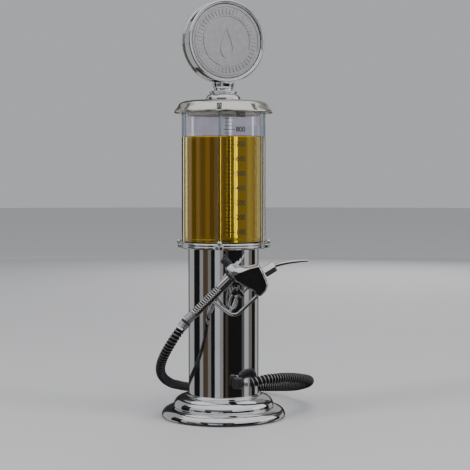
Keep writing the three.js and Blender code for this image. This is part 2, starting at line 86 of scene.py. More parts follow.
def softbox(name, azimuth, height, distance, width, tall, power):
    """A soft light, at an azimuth measured from the front towards +X.

    It isn't seen in polished or clear pieces, which show the panels instead."""
    data = bpy.data.lights.new(name, "AREA")
    data.shape = "RECTANGLE"
    data.size, data.size_y = width, tall
    data.energy = power
    light = bpy.data.objects.new(name, data)
    bpy.context.scene.collection.objects.link(light)
    a = math.radians(azimuth)
    light.location = (distance * math.sin(a), -distance * math.cos(a), height)
    aim_at(light, OBJECT_MIDDLE)
    light.visible_camera = False
    light.visible_glossy = False
    light.visible_transmission = False


PANEL_R = 2.9
PANEL_STEP = 6  # degrees
PANEL_LOW, PANEL_MIDDLE, PANEL_UPPER, PANEL_HIGH = -3.0, 0.44, 1.5, 3.0
THROUGH_DRINK_TOP = 0.405  # the panels seen through the drink end here, and those for the clear part begin
THROUGH_CLEAR_TOP = 0.8
STREAK_TOP = 0.62


def shown_only(name, bm, colour, seen):
    """A glowing piece of the studio that is seen only in polished pieces, or only through clear ones."""
    material = bpy.data.materials.new(name)
    material.use_nodes = True
    shader = material.node_tree.nodes["Principled BSDF"]
    shader.inputs["Base Color"].default_value = (0, 0, 0, 1)
    shader.inputs["Roughness"].default_value = 1
    shader.inputs["Specular IOR Level"].default_value = 0
    shader.inputs["Emission Color"].default_value = (*colour, 1)
    shader.inputs["Emission Strength"].default_value = 1
    mesh = bpy.data.meshes.new(name)
    bm.to_mesh(mesh)
    bm.free()
    mesh.materials.append(material)
    made = bpy.data.objects.new(name, mesh)
    bpy.context.scene.collection.objects.link(made)
    for kind in ("camera", "diffuse", "glossy", "transmission", "volume_scatter", "shadow"):
        setattr(made, "visible_" + kind, kind == seen)


def panel(name, start, end, low, high, colour, seen="glossy", radius=PANEL_R):
    """An upright curved panel between two azimuths."""
    bm = bmesh.new()
    steps = max(1, round((end - start) / PANEL_STEP))
    rows = []
    for z in (low, high):
        row = []
        for k in range(steps + 1):
            a = math.radians(start + (end - start) * k / steps)
            row.append(bm.verts.new((radius * math.sin(a), -radius * math.cos(a), z)))
        rows.append(row)
    for k in range(steps):
        bm.faces.new((rows[0][k], rows[0][k + 1], rows[1][k + 1], rows[1][k]))
    shown_only(name, bm, colour, seen)


def disc_panel(name, height, colour):
    """A level panel that closes the ring of upright ones above or below."""
    bm = bmesh.new()
    place = Matrix.Translation((0, 0, height))
    bmesh.ops.create_circle(bm, cap_ends=True, segments=64, radius=PANEL_R + 0.1, matrix=place)
    shown_only(name, bm, colour, "glossy")


def grey(value, warm=0.0):
    return (value * (1 + warm), value, value * (1 - warm))


def make_studio():
    world = bpy.data.worlds.new("studio")
    bpy.context.scene.world = world
    world.use_nodes = True
    world.node_tree.nodes["Background"].inputs["Color"].default_value = (0.74, 0.75, 0.78, 1)
    world.node_tree.nodes["Background"].inputs["Strength"].default_value = 0.6

    bpy.ops.mesh.primitive_circle_add(vertices=128, radius=9, fill_type="NGON")
    floor = bpy.context.object
    floor.name = "floor"
    material = bpy.data.materials.new("floor")
    material.use_nodes = True
    shader = material.node_tree.nodes["Principled BSDF"]
    shader.inputs["Base Color"].default_value = (0.66, 0.66, 0.67, 1)
    shader.inputs["Roughness"].default_value = 0.6
    floor.data.materials.append(material)
    floor.visible_glossy = False

    softbox("key_left", -58, 0.9, 2.3, 0.5, 1.8, 34)
    softbox("key_right", 62, 0.8, 2.3, 0.55, 1.7, 26)
    softbox("top", 20, 2.4, 0.9, 1.2, 1.2, 16)
    softbox("rear", 168, 1.2, 2.4, 0.8, 1.4, 14)

    dark = grey(0.012)
    low = [  # upright strips mirrored by the column, from straight behind round by the left, front and right
        (-180, -150, grey(0.05)), (-150, -112, grey(0.42)), (-112, -84, dark), (-84, -70, grey(0.3)),
        (-70, -52, grey(0.06, 0.4)), (-52, -41, grey(0.19, 0.1)), (-41, -28, dark), (-28, -12, grey(0.5)),
        (-12, -1, grey(0.28, 0.06)), (-1, 6, dark), (6, 15, grey(0.05, 0.3)), (15, 62, dark),
        (62, 72, grey(0.1)), (72, 90, grey(0.48)), (90, 106, grey(0.16, 0.15)), (106, 126, dark),
        (126, 150, grey(0.42)), (150, 180, grey(0.05)),
    ]
    middle = [  # the band that the sign and the lower halves of the rings mirror
        (-180, -150, grey(0.03)), (-150, -112, grey(0.4)), (-112, -84, grey(0.03)), (-84, -44, grey(0.6)),
        (-44, 20, grey(0.1)), (20, 72, grey(0.75)), (72, 116, grey(1.1)), (116, 150, grey(0.08)),
        (150, 180, grey(0.4)),
    ]
    high = [
        (-180, -150, grey(0.05)), (-150, -100, grey(0.4)), (-100, 120, grey(0.9)), (120, 180, grey(0.25)),
    ]
    for i, (start, end, colour) in enumerate(low):
        panel(f"strip_{i}", start, end, PANEL_LOW, PANEL_MIDDLE, colour)
    for i, (start, end, colour) in enumerate(middle):
        panel(f"middle_strip_{i}", start, end, PANEL_MIDDLE, PANEL_UPPER, colour)
    for i, (start, end, colour) in enumerate(high):
        panel(f"high_strip_{i}", start, end, PANEL_UPPER, PANEL_HIGH, colour)
    disc_panel("overhead", PANEL_HIGH, grey(1.0))
    disc_panel("underfoot", PANEL_LOW, grey(0.04))

    behind = [  # what the drink bends into view, from behind round by the left and the front
        (-180, -177.6, grey(0.1, 0.3)), (-177.6, -172, (3.2, 2.8, 1.7)), (-172, -171.5, grey(0.1)),
        (-171.5, -169.8, grey(2)), (-169.8, -160, grey(0.17, 0.1)), (-160, -151, grey(0.27, 0.1)),
        (-151, -142, grey(0.18, 0.2)), (-142, -120, grey(0.4)), (-120, 110, grey(0.1)),
        (110, 130, grey(1.5, 0.1)), (130, 140, grey(0.1, 0.3)), (140, 148, grey(0.17, 0.3)),
        (148, 155, grey(0.07, 0.35)),
        (155, 160, grey(0.15, 0.3)), (160, 166, grey(0.08, 0.35)), (166, 170, grey(0.13, 0.35)),
        (170, 177.3, grey(0.07, 0.35)), (177.3, 180, grey(0.1, 0.3)),
    ]
    for i, (start, end, colour) in enumerate(behind):
        panel(f"through_{i}", start, end, PANEL_LOW, THROUGH_DRINK_TOP, colour, "transmission",
              PANEL_R + 0.05)
    violet = (0.3, 0.285, 0.36)  # what shows through the empty part, with three bright streaks before it
    for i, (start, end) in enumerate([(-180, -160), (160, 180)]):
        panel(f"above_{i}", start, end, THROUGH_DRINK_TOP, THROUGH_CLEAR_TOP, violet, "transmission",
              PANEL_R + 0.08)
    for i, (start, end) in enumerate([(-175, -173.8), (174.8, 175.6), (179.1, 179.4)]):
        panel(f"streak_{i}", start, end, THROUGH_DRINK_TOP, STREAK_TOP, grey(0.8), "transmission",
              PANEL_R + 0.05)


# ---- materials ------------------------------------------------------------------------------------


class Nodes:
    """Short names for building one material's nodes."""

    def __init__(self, name):
        self.material = bpy.data.materials.new(name)
        self.material.use_nodes = True
        self.tree = self.material.node_tree
        self.shader = self.tree.nodes["Principled BSDF"]

    def set(self, **values):
        for key, value in values.items():
            self.shader.inputs[key.replace("_", " ")].default_value = value
        return self

    def noise(self, scale, detail, stretch=(1, 1, 1)):
        place = self.tree.nodes.new("ShaderNodeTexCoord")
        mapping = self.tree.nodes.new("ShaderNodeMapping")
        mapping.inputs["Scale"].default_value = stretch
        texture = self.tree.nodes.new("ShaderNodeTexNoise")
        texture.inputs["Scale"].default_value = scale
        texture.inputs["Detail"].default_value = detail
        self.tree.links.new(place.outputs["Object"], mapping.inputs["Vector"])
        self.tree.links.new(mapping.outputs["Vector"], texture.inputs["Vector"])
        return texture.outputs["Fac"]

    def ranged(self, source, low, high, into):
        node = self.tree.nodes.new("ShaderNodeMapRange")
        node.inputs["From Min"].default_value = 0.3
        node.inputs["From Max"].default_value = 0.7
        node.inputs["To Min"].default_value = low
        node.inputs["To Max"].default_value = high
        self.tree.links.new(source, node.inputs["Value"])
        self.tree.links.new(node.outputs["Result"], self.shader.inputs[into])

    def tinted(self, source, first, second):
        ramp = self.tree.nodes.new("ShaderNodeValToRGB")
        ramp.color_ramp.elements[0].position = 0.32
        ramp.color_ramp.elements[0].color = (*first, 1)
        ramp.color_ramp.elements[1].position = 0.68
        ramp.color_ramp.elements[1].color = (*second, 1)
        self.tree.links.new(source, ramp.inputs["Fac"])
        self.tree.links.new(ramp.outputs["Color"], self.shader.inputs["Base Color"])

    def bumped(self, source, strength, distance):
        bump = self.tree.nodes.new("ShaderNodeBump")
        bump.inputs["Strength"].default_value = strength
        bump.inputs["Distance"].default_value = distance
        self.tree.links.new(source, bump.inputs["Height"])
        self.tree.links.new(bump.outputs["Normal"], self.shader.inputs["Normal"])


def metal(name, first, second, low, high, grain=(1, 1, 1), scale=90, bump=0.02):
    made = Nodes(name).set(Metallic=1.0)
    made.tinted(made.noise(14, 3), first, second)
    made.ranged(made.noise(scale, 6, grain), low, high, "Roughness")
    made.bumped(made.noise(scale * 3, 5, grain), bump, 0.0002)
    return made.material


def plastic(name, first, second, low, high, scale=220, bump=0.15, sheen=0.5):
    made = Nodes(name).set(Specular_IOR_Level=sheen)
    made.tinted(made.noise(18, 3), first, second)
    made.ranged(made.noise(70, 4), low, high, "Roughness")
    made.bumped(made.noise(scale * 4, 6), bump, 0.0003)
    return made.material


def clear_plastic(name, first, second):
    made = Nodes(name).set(Transmission_Weight=1.0, IOR=1.49)
    made.tinted(made.noise(12, 2), first, second)
    made.ranged(made.noise(40, 5), 0.0, 0.035, "Roughness")
    return made.material


def drink(name):
    made = Nodes(name).set(Transmission_Weight=1.0, IOR=1.34)
    made.tinted(made.noise(9, 2), (0.99, 0.95, 0.8), (1.0, 0.97, 0.86))
    made.ranged(made.noise(25, 3), 0.0, 0.02, "Roughness")
    absorption = made.tree.nodes.new("ShaderNodeVolumeAbsorption")
    absorption.inputs["Color"].default_value = (0.99, 0.905, 0.015, 1)
    absorption.inputs["Density"].default_value = 46
    output = made.tree.nodes["Material Output"]
    made.tree.links.new(absorption.outputs["Volume"], output.inputs["Volume"])
    return made.material


def make_materials():
    return {
        "chrome": metal("polished_plating", (0.7, 0.71, 0.74), (0.78, 0.785, 0.8), 0.035, 0.075),
        "satin": metal("pearl_satin", (0.6, 0.59, 0.63), (0.69, 0.68, 0.72), 0.26, 0.38, scale=160,
                       bump=0.12),
        "lid": metal("pale_silver", (0.68, 0.67, 0.62), (0.76, 0.75, 0.7), 0.16, 0.28, (1, 1, 6), 120, 0.06),
        "steel": metal("machined_steel", (0.42, 0.43, 0.45), (0.55, 0.56, 0.58), 0.25, 0.4, (1, 1, 8), 120,
                       0.1),
        "spiral": metal("hose_spiral", (0.5, 0.5, 0.51), (0.62, 0.62, 0.63), 0.34, 0.46, bump=0.1),
        "clear": clear_plastic("clear_acrylic", (0.94, 0.945, 0.965), (0.97, 0.975, 0.99)),
        "rod": clear_plastic("rod_acrylic", (0.5, 0.56, 0.6), (0.6, 0.66, 0.7)),
        "drink": drink("golden_drink"),
        "white": plastic("white_plastic", (0.72, 0.71, 0.67), (0.82, 0.81, 0.78), 0.35, 0.5),
        "silicone": plastic("silicone", (0.66, 0.65, 0.6), (0.76, 0.75, 0.7), 0.4, 0.55),
        "black": plastic("black_plastic", (0.008, 0.008, 0.01), (0.022, 0.022, 0.025), 0.22, 0.4),
        "rubber": plastic("black_foam", (0.012, 0.012, 0.012), (0.03, 0.03, 0.03), 0.7, 0.9, 300, 0.5),
        "hose": plastic("hose_black", (0.004, 0.004, 0.005), (0.01, 0.01, 0.011), 0.45, 0.6, sheen=0.2),
        "ink": plastic("scale_ink", (0.012, 0.01, 0.008), (0.035, 0.03, 0.025), 0.4, 0.6),
    }


# ---- shape helpers --------------------------------------------------------------------------------


def rad(degrees):
    return math.radians(degrees)


def around(radius, angle, z=0.0):
    """A point at a radius and height in mm, at an angle from the front towards +X, in metres."""
    return Vector((radius * math.sin(rad(angle)), -radius * math.cos(rad(angle)), z)) * MM


def arc(cx, cy, rx, ry, start, end, steps):
    angles = [rad(start + (end - start) * i / steps) for i in range(steps + 1)]
    return [(cx + rx * math.cos(a), cy + ry * math.sin(a)) for a in angles]


NEARLY_STRAIGHT = 160  # degrees between the two sides of a corner that is left as it is
LEAST_ROUNDING = 0.05
SUPPORT = 0.1  # how far outside a rounding its support point lies


def eased(points, radius, steps=4, closed=False, even=False):
    """An outline with its corners rounded to about the radius, in mm.

    If even, each corner gets as many points. A point close outside each end of a rounding keeps the long
    straight faces beside it truly flat in the shading."""
    out = []
    count = len(points)
    for i, point in enumerate(points):
        here = Vector(point)
        if not closed and i in (0, count - 1):
            out.append(tuple(here))
            continue
        before = Vector(points[i - 1]) - here
        after = Vector(points[(i + 1) % count]) - here
        reach = min(radius, before.length * 0.45, after.length * 0.45)
        straight = before.length and after.length and before.angle(after) > rad(NEARLY_STRAIGHT)
        if not even and (reach < LEAST_ROUNDING or straight):
            out.append(tuple(here))
            continue
        start, end = here + before.normalized() * reach, here + after.normalized() * reach
        out.append(tuple(start + before.normalized() * min(SUPPORT, before.length * 0.04)))
        for k in range(steps + 1):
            t = k / steps
            out.append(tuple(start * (1 - t) ** 2 + here * 2 * t * (1 - t) + end * t * t))
        out.append(tuple(end + after.normalized() * min(SUPPORT, after.length * 0.04)))
    return out


MATERIALS = make_materials()
CAP_CORNERS = 8  # a face with more corners than this closes a piece's end, and has sharp borders


def finished(name, bm, look, body, nodes=(), slot=None, smooth_angle=35, place=None):
    """Makes the piece from its mesh, gives it its material, and puts it on its CAD body."""
    bmesh.ops.remove_doubles(bm, verts=bm.verts, dist=1e-7)
    bmesh.ops.dissolve_degenerate(bm, dist=1e-7, edges=bm.edges)
    bmesh.ops.recalc_face_normals(bm, faces=bm.faces)
    if place:
        bmesh.ops.transform(bm, matrix=place, verts=bm.verts)
    mesh = bpy.data.meshes.new(name)
    for face in bm.faces:
        face.smooth = True
    for edge in bm.edges:
        at_cap = any(len(face.verts) > CAP_CORNERS for face in edge.link_faces)
        gentle = edge.calc_face_angle(0) < rad(smooth_angle)
        edge.smooth = len(edge.link_faces) == 2 and not at_cap and gentle
    bm.to_mesh(mesh)
    bm.free()
    piece = bpy.data.objects.new(name, mesh)
    bpy.context.scene.collection.objects.link(piece)
    for key in [look] if isinstance(look, str) else look:
        mesh.materials.append(MATERIALS[key])
    if body:
        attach(piece, body)
    if nodes:
        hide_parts(*nodes)
    return piece


def revolve(bm, profile, segments, axis="z"):
    """Turns [radius, height] points in mm about Z or Y. A profile that misses the axis closes on itself."""
    rings = []
    for radius, height in profile:
        if radius < 1e-6:
            spot = (0, 0, height) if axis == "z" else (0, height, 0)
            rings.append([bm.verts.new(Vector(spot) * MM)])
            continue
        ring = []
        for k in range(segments):
            a = 2 * math.pi * k / segments
            x, y = radius * math.cos(a), radius * math.sin(a)
            spot = (x, y, height) if axis == "z" else (x, height, y)
            ring.append(bm.verts.new(Vector(spot) * MM))
        rings.append(ring)
    pairs = list(zip(rings, rings[1:]))
    if profile[0][0] > 1e-6 and profile[-1][0] > 1e-6:
        pairs.append((rings[-1], rings[0]))
    for low, high in pairs:
        for k in range(segments):
            n = (k + 1) % segments
            corners = [low[k % len(low)], low[n % len(low)], high[n % len(high)], high[k % len(high)]]
            distinct = list(dict.fromkeys(corners))
            if len(distinct) > 2:
                bm.faces.new(distinct)


def turned(name, profile, look, body, nodes=(), segments=FINE, ease=0.4, axis="z", place=None, **more):
    closed = profile[0][0] > 1e-6 and profile[-1][0] > 1e-6
    bm = bmesh.new()
    revolve(bm, eased(profile, ease, closed=closed) if ease else profile, segments, axis)
    if segments < 10:
        long_edges = [
            e for e in bm.edges if rad(40) < e.calc_face_angle(0) < rad(80) and e.calc_length() > 0.005
        ]
        bmesh.ops.bevel(bm, geom=long_edges, offset=0.0005, segments=3, profile=0.5, affect="EDGES")
    return finished(name, bm, look, body, nodes, place=place, **more)


def aimed(start, end):
    """The matrix that stands a piece made along +Z at start, pointing to end."""
    turn = Vector((0, 0, 1)).rotation_difference((end - start).normalized()).to_matrix().to_4x4()
    return Matrix.Translation(start) @ turn


def smooth_route(points, spacing):
    """Points at an even spacing along a centripetal Catmull-Rom curve, in metres."""
    spots = [Vector(p) for p in points]
    spots = [spots[0] * 2 - spots[1], *spots, spots[-1] * 2 - spots[-2]]
    fine = []
    for p0, p1, p2, p3 in zip(spots, spots[1:], spots[2:], spots[3:]):
        t = [0.0]
        for a, b in ((p0, p1), (p1, p2), (p2, p3)):
            t.append(t[-1] + math.sqrt((b - a).length))
        for k in range(24):
            x = t[1] + (t[2] - t[1]) * k / 24
            a1 = p0 * ((t[1] - x) / (t[1] - t[0])) + p1 * ((x - t[0]) / (t[1] - t[0]))
            a2 = p1 * ((t[2] - x) / (t[2] - t[1])) + p2 * ((x - t[1]) / (t[2] - t[1]))
            a3 = p2 * ((t[3] - x) / (t[3] - t[2])) + p3 * ((x - t[2]) / (t[3] - t[2]))
            b1 = a1 * ((t[2] - x) / (t[2] - t[0])) + a2 * ((x - t[0]) / (t[2] - t[0]))
            b2 = a2 * ((t[3] - x) / (t[3] - t[1])) + a3 * ((x - t[1]) / (t[3] - t[1]))
            fine.append(b1 * ((t[2] - x) / (t[2] - t[1])) + b2 * ((x - t[1]) / (t[2] - t[1])))
    fine.append(spots[-2])
    lengths = [0.0]
    for a, b in zip(fine, fine[1:]):
        lengths.append(lengths[-1] + (b - a).length)
    count = max(2, round(lengths[-1] / spacing))
    even, j = [], 0
    for i in range(count + 1):
        want = lengths[-1] * i / count
        while j < len(lengths) - 2 and lengths[j + 1] < want:
            j += 1
        share = (want - lengths[j]) / max(lengths[j + 1] - lengths[j], 1e-12)
        even.append(fine[j].lerp(fine[j + 1], share))
    return even, lengths[-1]


def carried_frames(route):
    """Two directions across the route at each point, turned as little as possible along it."""
    ahead = (route[1] - route[0]).normalized()
    across = ahead.orthogonal().normalized()
    frames = []
    for i, _ in enumerate(route):
        after, before = route[min(i + 1, len(route) - 1)], route[max(i - 1, 0)]
        new = (after - before).normalized()
        across = ahead.rotation_difference(new) @ across
        across = (across - new * across.dot(new)).normalized()
        ahead = new
        frames.append((across, ahead.cross(across)))
    return frames


def skinned(bm, rings, closed=False):
    """Faces between rings of vertices with the same count.

    The end rings are joined to each other if closed, or else filled."""
    pairs = list(zip(rings, rings[1:]))
    if closed:
        pairs.append((rings[-1], rings[0]))
    for low, high in pairs:
        for k in range(len(low)):
            n = (k + 1) % len(low)
            bm.faces.new((low[k], low[n], high[n], high[k]))
    if not closed:
        bm.faces.new(rings[0])
        bm.faces.new(list(reversed(rings[-1])))


# ---- base -----------------------------------------------------------------------------------------

STAND = "stand"
BASE_R = 73.2
STEP_R = 59.4
STEP_Z = 12.4
BASE_TOP = 26
COLUMN_R = 41.4


def make_base():
    turned("base_steps", [
        (70.6, 1), (72.4, 1.2), *arc(STEP_R + 1.8, 3, BASE_R - STEP_R - 1.8, STEP_Z - 3, 0, 90, 20),
        (STEP_R - 0.6, STEP_Z), *arc(45.8, 13.6, STEP_R - 45.8, BASE_TOP - 13.6, 0, 90, 20),
        (44.6, BASE_TOP + 0.7), (44, BASE_TOP + 2.1), (COLUMN_R + 0.2, BASE_TOP + 2.3),
        (COLUMN_R + 0.2, 21.5), (38, 21.5), (38, 19), (48, 19), (54, 15.4), (56.2, 9.2), (66, 8.4),
        (70.2, 5), (70.2, 1.2),
    ], "chrome", STAND, ["base_shell"], FINE)
    turned("base_underside", [(0, 2.5), (69.5, 2.5), (69.5, 4.5), (0, 4.5)], "steel", STAND, ["base_plate"])
    turned("column", [(40, 21.8), (COLUMN_R, 21.8), (COLUMN_R, 199.7), (40, 199.7)], "chrome", STAND,
           ["column_tube"], 256, 0.2)


# ---- outlet and hose ------------------------------------------------------------------------------

OUTLET_ANGLE = 18.4
OUTLET_Z = 47.2
OUTLET_RADIUS = 52.2
ELBOW_END_X = 23.3
HOSE_PITCH = 0.0042
HOSE_STEPS = 12  # rows of faces in one turn of the spiral
HOSE_SIDES = 24
HOSE_RIDGE = [0.00565, 0.00565, 0.0051, 0.0048, *[0.0047] * 5, 0.0048, 0.0051, 0.00565]  # radius at each row

HOSE_ROUTE = [
    (28.6, -49.5, 47.2), (32.5, -49.5, 47.4), (40, -48.4, 49.2), (49, -44.4, 50.6), (59.6, -36.4, 50.6),
    (70.2, -25, 49.6), (80.2, -12, 47.6), (89.4, 3.5, 44.6), (97.2, 19, 41.2), (103, 36, 37.4),
    (105.4, 54, 32.8), (103.8, 72, 27.6), (98.4, 90, 22.4), (91.4, 107, 18), (83.8, 124, 14.6),
    (74, 141, 11.6), (61, 156, 9), (44, 167, 7.2), (24, 172.5, 6.4), (4, 171, 6.4), (-14, 163, 7.2),
    (-28, 149, 9.6), (-38, 131, 13), (-45.5, 111, 17), (-51.5, 90, 21.4), (-57, 69, 26.2),
    (-62.6, 47, 31.2), (-67, 29, 36.8), (-70.8, 11, 43.2), (-73.4, -6, 51), (-73.8, -22, 60.2),
    (-71.4, -36.5, 70.8), (-67.2, -46.8, 80.8), (-62.3, -53, 90), (-57.8, -56.6, 97.7),
    (-54, -57.9, 103.4), (-50.8, -58, 108), (-47.65, -58, 112.1),
]


def make_hose():
    """A corrugated tube whose rows of faces follow the spiral, so that its ridges stay sharp."""
    spacing = HOSE_PITCH / HOSE_STEPS
    route, length = smooth_route([Vector(p) * MM for p in HOSE_ROUTE], spacing)
    frames = carried_frames(route)
    bm = bmesh.new()
    rings = []
    for i in range(len(route) - HOSE_STEPS):
        ring = []
        for k in range(HOSE_SIDES):
            share = k / HOSE_SIDES
            place = i + share * HOSE_STEPS
            j, rest = int(place), place - int(place)
            centre = route[j].lerp(route[min(j + 1, len(route) - 1)], rest)
            across, up = frames[j]
            angle = 2 * math.pi * share
            outward = across * math.cos(angle) + up * math.sin(angle)
            ring.append(bm.verts.new(centre + outward * HOSE_RIDGE[i % HOSE_STEPS]))
        rings.append(ring)
    for i, (low, high) in enumerate(zip(rings, rings[1:])):
        wire = i % HOSE_STEPS in (HOSE_STEPS - 1, 0)  # only the ridge's flat top
        for k in range(HOSE_SIDES - 1):
            face = bm.faces.new((low[k], low[k + 1], high[k + 1], high[k]))
            face.material_index = int(wire)
        if i + HOSE_STEPS + 1 < len(rings):  # the last side meets the row one turn further on
            next_low, next_high = rings[i + HOSE_STEPS][0], rings[i + HOSE_STEPS + 1][0]
            face = bm.faces.new((low[-1], next_low, next_high, high[-1]))
            face.material_index = int(wire)
    piece = finished("hose_corrugated", bm, ["hose", "spiral"], None, ["hose"], smooth_angle=60)
    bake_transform(piece)


def make_outlet():
    centre = around(OUTLET_RADIUS, OUTLET_ANGLE, OUTLET_Z)
    bm = bmesh.new()
    revolve(bm, eased([(0, -6.2), (5, -6.2), (6.2, -5), (6.2, 4.6), (4.8, 6), (0, 6.4)], 0.8), SMALL)
    bmesh.ops.translate(bm, vec=centre, verts=bm.verts)
    at_column = around(COLUMN_R + 0.2, OUTLET_ANGLE, OUTLET_Z)
    at_collar = Vector((ELBOW_END_X * MM, centre.y, OUTLET_Z * MM))
    for radius, end in ((5, at_column), (4.7, at_collar)):
        part = bmesh.new()
        reach = (end - centre).length / MM
        revolve(part, eased([(0, 0), (radius, 0), (radius, reach), (0, reach)], 0.4), SMALL)
        bmesh.ops.transform(part, matrix=aimed(centre, end), verts=part.verts)
        mesh = bpy.data.meshes.new("outlet_branch")
        part.to_mesh(mesh)
        part.free()
        bm.from_mesh(mesh)
        bpy.data.meshes.remove(mesh)
    finished("outlet_elbow_body", bm, "black", STAND, ["outlet_elbow"])
    start = Vector((23.6, -49.5, OUTLET_Z)) * MM  # the collar's nearer end
    turned("outlet_collar", [
        (2.4, 0), (4.5, 0), (4.8, 0.5), (4.8, 1.4), (4.5, 1.8), (4.8, 2.2), (4.8, 3.9), (4.5, 4.4),
        (2.4, 4.4),
    ], "satin", STAND, ["outlet_ferrule"], SMALL, 0.2, place=aimed(start, start + Vector((1, 0, 0))))


# ---- collar, rods and tank ------------------------------------------------------------------------

RODS_TURN = -5  # the angle of the front rod
ROD_ANGLES = [RODS_TURN + 90 * k for k in (-1, 0, 1, 2)]
TANK_R = 45
TANK_BORE = 43.3
TANK_FLOOR = 208.3
TANK_TOP = 361
DRINK_TOP = 330.6


def make_collar():
    turned("collar_ring", [
        (6.3, 200), (37.2, 200), (37.2, 192), (39.7, 192), (39.7, 200), (48.9, 200), (50, 201.2), (50, 202.7),
        (49.4, 203.2), (49.4, 204), (50, 204.5), (50, 205.8), (49, 207), (45.4, 207), (45.4, 203.7),
        (6.3, 203.7),
    ], "chrome", STAND, ["collar"], FINE, 0.5)
    for i, angle in enumerate(ROD_ANGLES, 1):
        lug = around(49.4, angle)
        turned(f"collar_lug_{i}", [
            (0, 200.6), (4.8, 200.6), (5.2, 201.1), (5.2, 204.2), (4.6, 204.8), (0, 204.8),
        ], "chrome", STAND, (), SMALL, 0.3, place=Matrix.Translation(lug))
        ball = [(x if x > 0.02 else 0, z) for x, z in arc(0, 207.9, 2.9, 2.9, -50, 90, 14)]
        turned(f"collar_screw_head_{i}", [(0, 201.9), (1.2, 201.9), (1.2, 205), *ball], "chrome", STAND,
               [f"collar_screw_{i}"], SMALL, 0, place=Matrix.Translation(around(52.8, angle)))
        rod_place = Matrix.Translation(around(47.4, angle))
        turned(f"tank_rod_{i}", [
            (0, 204.3), (1.2, 204.3), (1.2, 207.3), (2.1, 207.3), (2.1, 362.4), (1.5, 363), (0, 363),
        ], "rod", STAND, [f"rod_{i}"], SMALL, 0.2, slot="clear", place=rod_place)


def make_tank():
    turned("tank_clear", [
        (5.4, 205.3), (TANK_R - 0.8, 205.3), (TANK_R, 206.1), (TANK_R, TANK_TOP - 0.5),
        (TANK_R - 0.5, TANK_TOP), (TANK_BORE + 0.3, TANK_TOP), (TANK_BORE, TANK_TOP - 0.4),
        (TANK_BORE, TANK_FLOOR), (5.4, TANK_FLOOR),
    ], "clear", STAND, ["tank"], 256, 0.4)
    wall = TANK_BORE + 0.12  # the drink wets the wall, so that no film of air is left between them
    floor = TANK_FLOOR - 0.1
    turned("drink", [
        (0, floor), (wall, floor), (wall, DRINK_TOP + 0.9), (TANK_BORE - 0.4, DRINK_TOP + 0.3),
        (TANK_BORE - 1.4, DRINK_TOP), (0, DRINK_TOP),
    ], "drink", STAND, (), 256, 0.2, slot="clear")


def curved_patch(bm, radius, angle_from, angle_to, low, high):
    """A thin patch of ink on the tank, between two angles and two heights."""
    steps = max(1, round(abs(angle_to - angle_from)))
    rows = []
    for depth in (0.02, 0.09):
        for z in (low, high):
            rows.append([
                bm.verts.new(around(radius + depth, angle_from + (angle_to - angle_from) * k / steps, z))
                for k in range(steps + 1)
            ])
    inner_low, inner_high, outer_low, outer_high = rows
    sides = [
        (inner_low, inner_high), (outer_low, outer_high), (inner_low, outer_low), (inner_high, outer_high),
    ]
    for a, b in sides:
        for k in range(steps):
            bm.faces.new((a[k], a[k + 1], b[k + 1], b[k]))
    for k in (0, steps):
        bm.faces.new((inner_low[k], inner_high[k], outer_high[k], outer_low[k]))


SCALE_100 = 220.3
PER_100 = 16.84
LONG_MARK = (0.3, 17, 0.34)  # first angle, last angle and half height
SHORT_MARK = (2.2, 13.3, 0.25)
NUMERAL_ANGLE = 26
NUMERAL_SIZE = 8


def make_scale():
    """Marks each 25 ml, longer each 100, with the hundreds numbered."""
    bm = bmesh.new()
    for step in range(33):
        z = SCALE_100 + PER_100 * step / 4
        first, last, half = SHORT_MARK if step % 4 else LONG_MARK
        curved_patch(bm, TANK_R, first, last, z - half, z + half)
    finished("scale_marks", bm, "ink", STAND, (), "black")

    bm = bmesh.new()
    for hundred in range(1, 10):
        text = bpy.data.curves.new("numeral", "FONT")
        text.body = str(hundred * 100)
        text.size = NUMERAL_SIZE
        text.extrude = 0.04
        text.offset = 0.12
        text.align_x = "CENTER"
        text.align_y = "CENTER"
        holder = bpy.data.objects.new("numeral", text)
        bpy.context.scene.collection.objects.link(holder)
        bpy.context.view_layer.update()
        flat = bpy.data.meshes.new_from_object(holder.evaluated_get(bpy.context.evaluated_depsgraph_get()))
        bpy.data.objects.remove(holder)
        z = SCALE_100 + PER_100 * (hundred - 1)
        for vertex in flat.vertices:
            x, y, depth = vertex.co
            angle = NUMERAL_ANGLE + math.degrees(x / TANK_R)
            vertex.co = around(TANK_R + 0.06 + depth, angle, z + y)
        bm.from_mesh(flat)
        bpy.data.meshes.remove(flat)
    finished("scale_numerals", bm, "ink", STAND, (), "black", smooth_angle=20)


# ---- lid ------------------------------------------------------------------------------------------

LID = "lid"
LID_TOP = 373
NOTCHES = 8
NOTCH_AT = (0, -55, 364.1)
NOTCH_SIZE = (0.0057, 0.010, 0.0072)  # metres


